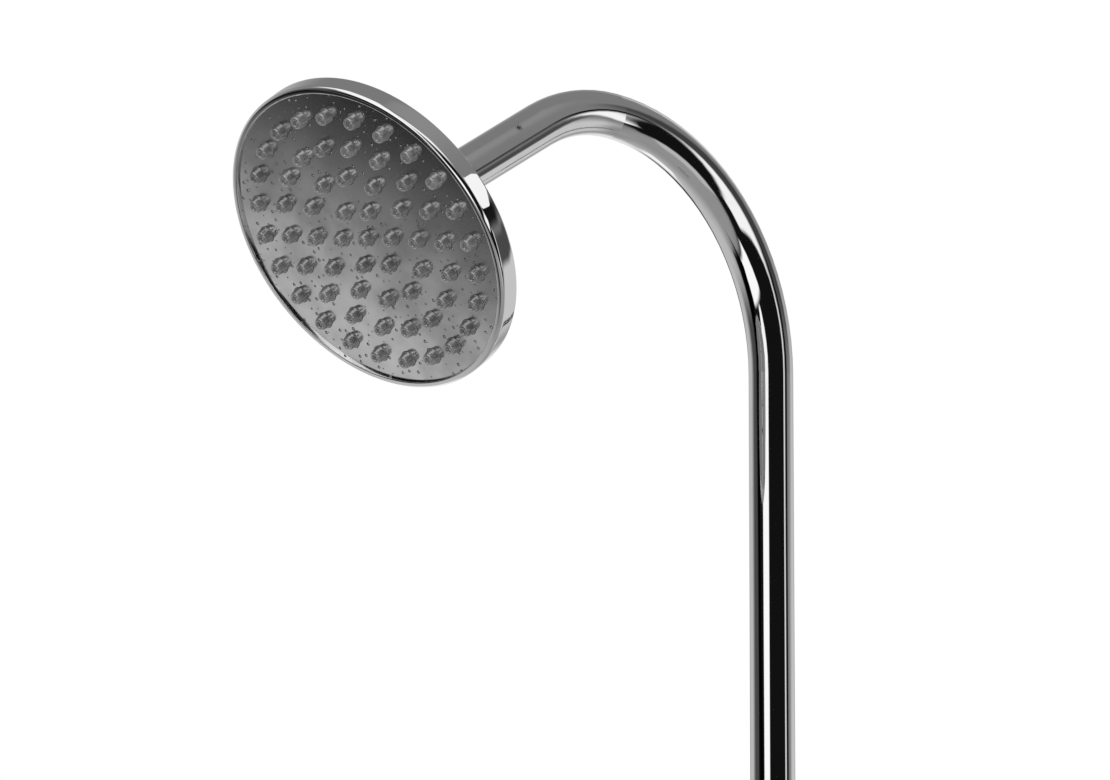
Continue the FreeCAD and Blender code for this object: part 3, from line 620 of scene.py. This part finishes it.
@dataclass
class Studio:
    """The room with its lamps, the pale floor, and two small panels close to the head.

    Lengths are in metres and angles in degrees. The flag is a dark cloth and the glint a
    white card. flag_direction is how far the cloth rises to the right and upwards, and
    flag_fade where its dark starts and is full, in heights of the cloth from its middle.
    glint_rim is the radius and the height of the rim's bright patch on the head's own axis.
    """

    ceiling_level: float = 0.21
    plain_level: float = 0.62
    cards: tuple[StudioCard, ...] = (
        StudioCard("pale ground", 0.0, -90.0, 181.0, 42.0, 0.30, 6.0),
        StudioCard("bright ground", 60.0, -50.0, 24.0, 10.0, 0.5, 4.0),
        StudioCard("left wall", -135.0, -14.0, 52.0, 44.0, 0.53, 24.0),
        StudioCard("left shade", -86.0, 6.0, 24.0, 26.0, 0.07, 14.0),
        StudioCard("right wall", 129.0, -13.0, 27.0, 28.0, 0.6, 10.0),
        StudioCard("high back panel", 156.0, 30.0, 11.0, 9.0, 0.6, 5.0),
        StudioCard("backdrop", 180.0, -8.0, 12.0, 22.0, 0.8, 9.0),
        StudioCard("dark door", -163.0, -5.0, 8.0, 13.0, 0.03, 3.0),
        StudioCard("white board", -163.0, -36.0, 9.0, 9.0, 1.0, 3.0),
        StudioCard("dark drape", 8.0, -14.5, 84.0, 30.5, 0.006, 3.0),
        StudioCard("tall soft box", -34.0, 20.0, 19.5, 38.0, 1.05, 1.5, -0.34, 0.41),
        StudioCard("low soft box", -20.0, -31.0, 24.0, 11.0, 1.05, 2.0),
        StudioCard("leaning strip", 60.0, -11.0, 7.0, 16.0, 1.0, 2.0, 1.05),
        StudioCard("upright strip", 88.5, -13.0, 3.5, 15.0, 1.0, 2.0),
        StudioCard("narrow strip", 70.0, 16.0, 3.0, 12.0, 0.75, 1.5),
        StudioCard("dark corner", 104.0, 20.0, 14.0, 10.0, 0.05, 5.0),
        StudioCard("dark post", 102.0, -2.0, 7.5, 9.0, 0.07, 3.0),
        StudioCard("zenith panel", 60.0, 66.0, 30.0, 20.0, 0.27, 16.0),
        StudioCard("front soft box", 18.0, 37.0, 30.0, 12.0, 1.0, 4.0),
        StudioCard("overhead soft box", -60.0, 62.0, 45.0, 13.0, 1.0, 4.0),
    )
    lamps: tuple[StudioLamp, ...] = (
        StudioLamp("key_lamp", (2.6, -3.4, 3.6), 2.4, 95.0),
        StudioLamp("fill_lamp", (-3.2, -1.6, 2.4), 2.4, 45.0),
        StudioLamp("back_lamp", (-0.8, 3.2, 3.4), 2.0, 40.0),
    )
    floor_radius: float = 16.0
    floor_sides: int = 96
    floor_drop: float = 0.0002
    floor_colour: float = 0.86
    shadow_radius: float = 1.2
    white_radius: float = 3.2
    flag_direction: Point = (0.67, 0.74)
    flag_distance: float = 0.22
    flag_shift: float = 0.06
    flag_size: Point = (0.5, 0.24)
    flag_fade: Point = (-0.5, 0.02)
    flag_cover: float = 0.97
    glint_turn: float = 7.5
    glint_rim: Point = (0.08, 0.031)
    glint_distance: float = 0.12
    glint_size: Point = (0.034, 0.05)

    def build(self) -> None:
        """Make the world, the lamps, the floor and the two panels."""
        bpy.context.scene.view_settings.view_transform = "Standard"
        self.build_world()
        for lamp in self.lamps:
            lamp.build()
        self.build_floor()
        self.build_flag()
        self.build_glint()

    def build_world(self) -> None:
        """A plain room for soft light, and panels that only reflections show."""
        world = bpy.data.worlds.new("studio")
        bpy.context.scene.world = world
        world.use_nodes = True
        world.node_tree.nodes.clear()
        world.cycles.sampling_method = "NONE"
        graph = Graph(world.node_tree)
        direction = graph.add("TexCoord").outputs["Generated"]
        sideways = graph.dot(direction, VIEW.to_the_right())
        azimuth = graph.math("ARCTAN2", sideways, graph.dot(direction, VIEW.towards_camera()))
        elevation = graph.math("ARCSINE", graph.dot(direction, UPRIGHT))
        level: object = self.ceiling_level
        for card in self.cards:
            level = graph.blend(card.mask(graph, azimuth, elevation), level, card.level)
        path = graph.add("LightPath").outputs
        seen = graph.blend(path["Is Glossy Ray"], self.plain_level, level)
        direct = graph.math("MAXIMUM", path["Is Camera Ray"], path["Is Transmission Ray"])
        shown = graph.blend(direct, seen, 1.0)
        background = graph.add("Background", {"Color": shown, "Strength": 1.0})
        graph.add("OutputWorld", {"Surface": background.outputs[0]})

    def build_floor(self) -> None:
        """A pale floor that keeps the shadow, runs out to white and is clear from below."""
        bpy.ops.mesh.primitive_circle_add(
            vertices=self.floor_sides, radius=self.floor_radius, fill_type="NGON"
        )
        floor = bpy.context.object
        floor.name = "studio_floor"
        floor.location.z = -self.floor_drop
        floor.visible_glossy = False
        material, graph, output = new_material("studio_floor")
        place = graph.add("TexCoord").outputs["Object"]
        reach = graph.add("VectorMath", {0: place}, operation="LENGTH").outputs["Value"]
        fade = graph.smooth(reach, self.shadow_radius, self.white_radius)
        camera = graph.add("LightPath").outputs["Is Camera Ray"]
        pale = graph.add("BsdfDiffuse", {"Color": grey(self.floor_colour)})
        white = graph.add("Emission", {"Color": grey(1.0), "Strength": 1.0})
        factor = graph.math("MULTIPLY", fade, camera)
        above = graph.add("MixShader", {0: factor, 1: pale.outputs[0], 2: white.outputs[0]})
        below = graph.add("BsdfTransparent")
        under = graph.add("NewGeometry").outputs["Backfacing"]
        mix = graph.add("MixShader", {0: under, 1: above.outputs[0], 2: below.outputs[0]})
        graph.feed(output.inputs["Surface"], mix.outputs[0])
        floor.data.materials.append(material)

    def build_flag(self) -> None:
        """A dark cloth below the head, which takes the light off part of its spray face."""
        head = HeadFrame.read()
        glance = mirrored(Vector(VIEW.forward).normalized(), head.axis)
        sideways, rise = self.flag_direction
        upwards = laid_flat(VIEW.to_the_right() * sideways + UPRIGHT * rise, head.axis)
        upwards = laid_flat(upwards, glance)
        place = head.face_centre() + glance * self.flag_distance + upwards * self.flag_shift
        graph, output = self.build_panel("studio_flag", place, glance, upwards, self.flag_size)
        height = graph.dot(graph.add("TexCoord").outputs["Object"], (0.0, 1.0, 0.0))
        cover = graph.smooth(height, *self.flag_fade, 0.0, self.flag_cover)
        clear = graph.add("BsdfTransparent").outputs[0]
        dark = graph.add("Emission", {"Color": grey(0.0), "Strength": 1.0}).outputs[0]
        mix = graph.add("MixShader", {0: cover, 1: clear, 2: dark})
        graph.feed(output.inputs["Surface"], mix.outputs[0])

    def build_glint(self) -> None:
        """A small white card beside the head, which gives its rim a bright patch."""
        head = HeadFrame.read()
        turn = math.radians(self.glint_turn)
        radius, depth = self.glint_rim
        outwards = Vector((math.cos(turn), math.sin(turn), 0.0))
        rim = head.matrix() @ (outwards * radius + UPRIGHT * depth)
        outwards = head.matrix().to_3x3() @ outwards
        glance = mirrored((rim - Vector(VIEW.place)).normalized(), outwards)
        place = rim + glance * self.glint_distance
        graph, output = self.build_panel("studio_glint", place, glance, UPRIGHT, self.glint_size)
        white = graph.add("Emission", {"Color": grey(1.0), "Strength": 1.0})
        graph.feed(output.inputs["Surface"], white.outputs[0])

    def build_panel(self, name: str, place: Vector, facing: Vector, upwards: Vector,
                    size: Point) -> tuple[Graph, bpy.types.Node]:
        """Add a flat panel close to the head that only polished metal reflects.

        Args:
            name: The panel's name, also that of its material.
            place: Its middle.
            facing: The direction of its normal.
            upwards: The direction of its height.
            size: Its width and height in metres.

        Returns:
            Its material's graph and output node, to be wired.
        """
        Bench().clear()
        bpy.ops.mesh.primitive_plane_add(size=1.0)
        panel = bpy.context.object
        panel.name = name
        upwards = laid_flat(upwards, facing)
        turn = Matrix((upwards.cross(facing), upwards, facing)).transposed().to_4x4()
        panel.matrix_world = Matrix.Translation(place) @ turn @ Matrix.Diagonal((*size, 1.0, 1.0))
        for ray in ("camera", "diffuse", "transmission", "volume_scatter", "shadow"):
            setattr(panel, "visible_" + ray, False)
        material, graph, output = new_material(name)
        panel.data.materials.append(material)
        return graph, output


# ------------------------------------------------------------------ finishes
@dataclass(frozen=True)
class Finish(ABC):
    """A finish: a material with one Principled shader, on the piece's own coordinates."""

    name: str

    @abstractmethod
    def inputs(self, graph: Graph, place: Socket) -> dict[str, object]:
        """Wire what the shader takes.

        Args:
            graph: The material's node tree.
            place: The piece's Object coordinates.

        Returns:
            Values or sockets for the shader's inputs, by name.
        """

    def build(self) -> bpy.types.Material:
        """Make the material.

        Returns:
            The new material.
        """
        material, graph, output = new_material(self.name)
        place = graph.add("TexCoord").outputs["Object"]
        shader = graph.add("BsdfPrincipled", self.inputs(graph, place))
        graph.feed(output.inputs["Surface"], shader.outputs[0])
        return material


@dataclass(frozen=True)
class PolishedChrome(Finish):
    """Bright chrome plate with faint wiping marks."""

    name: str = "polished_chrome"
    colour: float = 0.9
    smudge_tone: float = 0.94
    roughness: float = 0.03
    smudge_roughness: float = 0.12
    smudge_scale: float = 22.0
    wave_height: float = 0.00002

    def inputs(self, graph: Graph, place: Socket) -> dict[str, object]:
        """Wire the wiping marks' tone, roughness and waviness."""
        marks = graph.shared(GROUPS.smudges(), Vector=place, Scale=self.smudge_scale)
        smudged = grey(self.colour * self.smudge_tone)
        return {
            "Metallic": 1.0,
            "Base Color": graph.tint(marks["Mask"], grey(self.colour), smudged),
            "Roughness": graph.blend(marks["Mask"], self.roughness, self.smudge_roughness),
            "Normal": graph.bump(marks["Wave"], self.wave_height),
        }


@dataclass(frozen=True)
class WetSprayFace(Finish):
    """Satin metal of the spray face, clouded by limescale; drops with painted shade rings."""

    name: str = "wet_spray_face"
    light: float = 0.86
    dark: float = 0.62
    roughness: float = 0.12
    cloud_roughness: float = 0.22
    cloud_scale: float = 34.0
    drop_scale: float = 215.0
    drop_size: float = 0.2
    drop_share: float = 0.6
    drop_height: float = 0.0005
    # Colour of the painted shade ring at each drop's edge.
    drop_shade_colour: float = 0.05
    drop_roughness: float = 0.04

    def inputs(self, graph: Graph, place: Socket) -> dict[str, object]:
        """Wire the clouds and, laid flat on the face, the drops."""
        level = (-HeadFrame.read().tip(), 0.0, 0.0)
        flat = graph.add("Mapping", {"Vector": place, "Rotation": level}).outputs[0]
        clouds = graph.shared(GROUPS.grain(), Vector=place, Scale=self.cloud_scale)["Clouds"]
        drops = graph.shared(
            GROUPS.water_drops_and_shade_rings(), Vector=flat, Scale=self.drop_scale, Size=self.drop_size,
            Share=self.drop_share,
        )
        tone = graph.tint(clouds, grey(self.light), grey(self.dark))
        rough = graph.blend(clouds, self.roughness, self.cloud_roughness)
        return {
            "Metallic": 1.0,
            # Painted shade: each drop's edge ring darkens the face's colour.
            "Base Color": graph.tint(drops["Shade Ring"], tone, grey(self.drop_shade_colour)),
            "Roughness": graph.blend(drops["Mask"], rough, self.drop_roughness),
            "Normal": graph.bump(drops["Dome"], self.drop_height),
        }


@dataclass(frozen=True)
class ClearSilicone(Finish):
    """Grey see-through silicone of the nozzles, under a film of water."""

    name: str = "clear_silicone"
    light: float = 0.24
    dark: float = 0.15
    roughness: float = 0.08
    rough_factor: float = 2.2
    grain_scale: float = 60.0
    relief: float = 0.00002
    relief_strength: float = 0.2
    see_through: float = 0.25
    silicone_ior: float = 1.41
    water_ior: float = 3.0
    water_roughness: float = 0.03

    def inputs(self, graph: Graph, place: Socket) -> dict[str, object]:
        """Wire the silicone's clouds and the film of water."""
        grain = graph.shared(GROUPS.grain(), Vector=place, Scale=self.grain_scale)
        roughest = self.roughness * self.rough_factor
        return {
            "IOR": self.silicone_ior,
            "Transmission Weight": self.see_through,
            "Coat Weight": 1.0,
            "Coat Roughness": self.water_roughness,
            "Coat IOR": self.water_ior,
            "Base Color": graph.tint(grain["Clouds"], grey(self.light), grey(self.dark)),
            "Roughness": graph.blend(grain["Grain"], self.roughness, roughest),
            "Normal": graph.bump(grain["Clouds"], self.relief, self.relief_strength),
        }


@dataclass(frozen=True)
class GrainedFinish(Finish):
    """A finish whose tone, roughness and relief follow clouds and a fine grain."""

    light: Triple
    dark: Triple
    metallic: float
    roughness: float
    rough_spread: float
    scale: float
    relief: float
    relief_strength: float = 0.6
    stretch: Triple = (1.0, 1.0, 1.0)

    def inputs(self, graph: Graph, place: Socket) -> dict[str, object]:
        """Wire the clouds and the grain."""
        drawn = graph.add("Mapping", {"Vector": place, "Scale": self.stretch}).outputs[0]
        grain = graph.shared(GROUPS.grain(), Vector=drawn, Scale=self.scale)
        roughest = self.roughness + self.rough_spread
        return {
            "Metallic": self.metallic,
            "Base Color": graph.tint(grain["Clouds"], (*self.light, 1.0), (*self.dark, 1.0)),
            "Roughness": graph.blend(grain["Grain"], self.roughness, roughest),
            "Normal": graph.bump(grain["Grain"], self.relief, self.relief_strength),
        }


class Finishes:
    """The finishes that are made here. Screws and white plastic keep the frame's own."""

    recipes: dict[Slot, Finish] = {
        Slot.CHROME: PolishedChrome(),
        Slot.SPRAY_FACE: WetSprayFace(),
        Slot.SILICONE: ClearSilicone(),
        Slot.BRASS: GrainedFinish(
            "turned_brass", light=(0.76, 0.56, 0.27), dark=(0.58, 0.38, 0.15), metallic=1.0,
            roughness=0.22, rough_spread=0.2, scale=60.0, relief=0.00002,
        ),
        Slot.RUBBER: GrainedFinish(
            "black_rubber", light=(0.035, 0.035, 0.037), dark=(0.018, 0.018, 0.019),
            metallic=0.0, roughness=0.5, rough_spread=0.3, scale=45.0, relief=0.00008,
        ),
        Slot.STEEL_PLATE: GrainedFinish(
            "brushed_steel", light=(0.66, 0.66, 0.65), dark=(0.5, 0.5, 0.49), metallic=1.0,
            roughness=0.24, rough_spread=0.22, scale=7.0, relief=0.00003,
            stretch=(1.0, 14.0, 1.0),
        ),
        Slot.MESH_STEEL: GrainedFinish(
            "screen_steel", light=(0.6, 0.6, 0.59), dark=(0.42, 0.42, 0.4), metallic=1.0,
            roughness=0.26, rough_spread=0.2, scale=300.0, relief=0.00002,
        ),
        Slot.CERAMIC: GrainedFinish(
            "white_ceramic", light=(0.86, 0.85, 0.82), dark=(0.78, 0.77, 0.73), metallic=0.0,
            roughness=0.12, rough_spread=0.16, scale=90.0, relief=0.000005,
        ),
    }

    def __init__(self) -> None:
        """Build the materials."""
        self.made = {slot: recipe.build() for slot, recipe in self.recipes.items()}

    def dress_nodes(self) -> None:
        """Give each carried-over CAD node the finish of its slot, where one is made here."""
        for name, node in frame["nodes"].items():
            for place in node.material_slots:
                slot = Slot(place.material.name.split(".")[0])
                place.material = self.made.get(slot, place.material)
            LOG.info("%s: dressed", name)

    def dress(self, piece: bpy.types.Object, slot: Slot, body: Body) -> None:
        """Finish a new piece.

        Args:
            piece: The piece.
            slot: Its finish.
            body: The body it moves with.
        """
        piece.data.materials.clear()
        piece.data.materials.append(self.made[slot])
        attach(piece, body.value)
        LOG.info("%s: %d faces", piece.name, len(piece.data.polygons))


# ------------------------------------------------------------------ spray head
@dataclass
class SprayHead:
    """The round head: its chromed shell with a beaded lip, and the silicone mat of nozzles.

    Sizes are in millimetres, and heights run along the head's axis from the ball's centre.
    A pair gives a radius and a height, but rim_rings says how far two rings lie behind the
    front round. The heights of nozzle_side start at the spray face, and those of
    nozzle_mouth go down from the nozzle's tip.
    """

    radius: float = 80.0
    face_front: float = 36.0
    rim_back: float = 24.6
    rim_rings: Point = (5.0, 0.5)
    back_round: float = 1.2
    front_round: Point = (2.0, 2.4)
    inner_round: Point = (0.6, 0.5)
    pocket_radius: float = 77.5
    lip_overlap: float = 0.9
    lip_depth: float = 1.6
    plate_thickness: float = 1.5
    mat_thickness: float = 2.0
    mat_gap: float = 0.4
    backing_back: float = 27.9
    shoulder_radius: float = 74.0
    wall: float = 2.6
    cavity_radius: float = 13.5
    neck_radius: float = 16.0
    neck_start: float = 2.5
    neck_end: float = 13.0
    dome_top: Point = (18.5, 18.0)
    dome_middle: Point = (50.0, 20.8)
    dome_chamfer: float = 0.4
    bore_radius: float = 9.0
    limiter_start: float = 14.0
    waterway_radius: float = 7.0
    seal_end: float = 10.5
    ring_pitch: float = 16.15
    ring_counts: tuple[int, ...] = (6, 12, 18, 24)
    ring_turns: tuple[float, ...] = (52.0, 19.6, 8.7, 4.1)
    nozzle_height: float = 4.9
    nozzle_bore: float = 0.6
    nozzle_root: float = 0.5
    bead_radius: float = 3.95
    bead_height: float = 0.1
    bead_round: float = 0.2
    nozzle_side: tuple[Point, ...] = (
        (3.72, 0.34), (3.66, 0.5), (3.64, 0.8), (3.56, 1.7), (3.44, 2.6), (3.26, 3.5)
    )
    tip_radius: float = 2.02
    tip_round: Point = (1.18, 1.15)
    nozzle_mouth: tuple[Point, ...] = ((1.85, 0.0), (1.66, 0.12), (1.4, 0.7), (1.1, 1.5))
    mouth_depth: float = 1.9
    shell_sides: int = 192
    shell_edge_angle: float = 32.0
    mat_sides: int = 96
    nozzle_sides: int = 28
    mat_edge_angle: float = 40.0

    @property
    def plate_front(self) -> float:
        """Height of the spray face."""
        return self.face_front - self.lip_depth

    @property
    def mat_back(self) -> float:
        """Height of the mat's back."""
        return self.plate_front - self.plate_thickness - self.mat_thickness

    def rim_outline(self) -> list[Point]:
        """Radius and height from the back of the rim round its front and over the lip."""
        back = (self.radius - self.back_round, self.rim_back + self.back_round)
        front = (self.radius - self.front_round[0], self.face_front - self.front_round[1])
        lip = self.pocket_radius - self.lip_overlap
        edge = (lip + self.inner_round[0], self.face_front - self.inner_round[1])
        return [
            *arc(back, (self.back_round, self.back_round), start=-80.0, end=0.0, steps=7),
            *((self.radius, front[1] - behind) for behind in self.rim_rings),
            *arc(front, self.front_round, start=0.0, end=90.0, steps=18),
            *arc(edge, self.inner_round, start=90.0, end=180.0, steps=6),
            (lip, self.plate_front),
        ]

    def shell_outline(self) -> list[Point]:
        """Radius and height round the shell's wall, from its neck over dome and rim and back."""
        top_radius, top = self.dome_top
        dome_start = (top_radius + self.dome_chamfer, top)
        dome_end = (self.radius - self.back_round, self.rim_back)
        inner_middle = (self.dome_middle[0], self.dome_middle[1] + self.wall)
        inner_start = (self.shoulder_radius, self.rim_back + self.wall)
        inner_end = (top_radius, top + self.wall)
        return [
            (self.cavity_radius, self.neck_start),
            (self.neck_radius, self.neck_start),
            (self.neck_radius, self.neck_end),
            (top_radius, self.neck_end),
            (top_radius, top - self.dome_chamfer),
            dome_start,
            *bowed(dome_start, self.dome_middle, dome_end, steps=28),
            *self.rim_outline(),
            (self.pocket_radius, self.plate_front),
            (self.pocket_radius, self.backing_back),
            (self.shoulder_radius, self.backing_back),
            inner_start,
            *bowed(inner_start, inner_middle, inner_end, steps=16),
            (self.bore_radius, top + self.wall),
            (self.bore_radius, self.limiter_start),
            (self.waterway_radius, self.limiter_start),
            (self.waterway_radius, self.seal_end),
            (self.cavity_radius, self.seal_end),
        ]

    def nozzle_outline(self) -> list[Point]:
        """Radius and height round one nozzle's wall, from its root over the tip to its mouth."""
        face = self.plate_front
        tip = face + self.nozzle_height
        root = self.mat_back + self.nozzle_root
        bead = (self.bead_radius - self.bead_round, face + self.bead_height)
        cap = (self.tip_radius, tip - self.tip_round[1])
        return [
            (self.nozzle_bore, root),
            (self.bead_radius, root),
            (self.bead_radius, bead[1]),
            *arc(bead, (self.bead_round, self.bead_round), start=15.0, end=90.0, steps=4),
            *((radius, face + height) for radius, height in self.nozzle_side),
            *arc(cap, self.tip_round, start=12.0, end=90.0, steps=8),
            *((radius, tip - depth) for radius, depth in self.nozzle_mouth),
            (self.nozzle_bore, tip - self.mouth_depth),
        ]

    def sites(self) -> list[Point]:
        """Where the nozzles stand round the middle one."""
        spots = []
        for ring, (count, turn) in enumerate(zip(self.ring_counts, self.ring_turns), start=1):
            for step in range(count):
                angle = math.radians(turn + 360.0 * step / count)
                reach = self.ring_pitch * ring
                spots.append((reach * math.cos(angle), reach * math.sin(angle)))
        return spots

    def build_shell(self, bench: Bench, finishes: Finishes) -> None:
        """Model the shell.

        Args:
            bench: The modelling tools.
            finishes: The finishes.
        """
        shell = bench.turned("spray_head_shell", self.shell_outline(), self.shell_sides)
        bench.smooth(shell, self.shell_edge_angle)
        bench.settle(shell, HeadFrame.read().matrix())
        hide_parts("head_shell")
        finishes.dress(shell, Slot.CHROME, Body.HEAD)

    def build_mat(self, bench: Bench, finishes: Finishes) -> None:
        """Model the mat and its nozzles.

        Args:
            bench: The modelling tools.
            finishes: The finishes.
        """
        bore = self.nozzle_bore
        wide = self.pocket_radius - self.mat_gap
        back = self.mat_back
        front = back + self.mat_thickness
        outline = [(bore, back), (wide, back), (wide, front), (bore, front)]
        mat = bench.turned("spray_nozzle_mat", outline, self.mat_sides)
        nozzle = bench.turned("spray_nozzle", self.nozzle_outline(), self.nozzle_sides)
        bench.join(mat, [nozzle, *(bench.copy(nozzle, x, y) for x, y in self.sites())])
        bench.smooth(mat, self.mat_edge_angle)
        bench.settle(mat, HeadFrame.read().matrix())
        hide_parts("nozzle_mat")
        finishes.dress(mat, Slot.SILICONE, Body.HEAD)


def main() -> None:
    """Build the scene."""
    VIEW.build()
    Studio().build()
    finishes = Finishes()
    finishes.dress_nodes()
    bench = Bench()
    head = SprayHead()
    head.build_shell(bench, finishes)
    head.build_mat(bench, finishes)


if __name__ == "__main__":
    main()
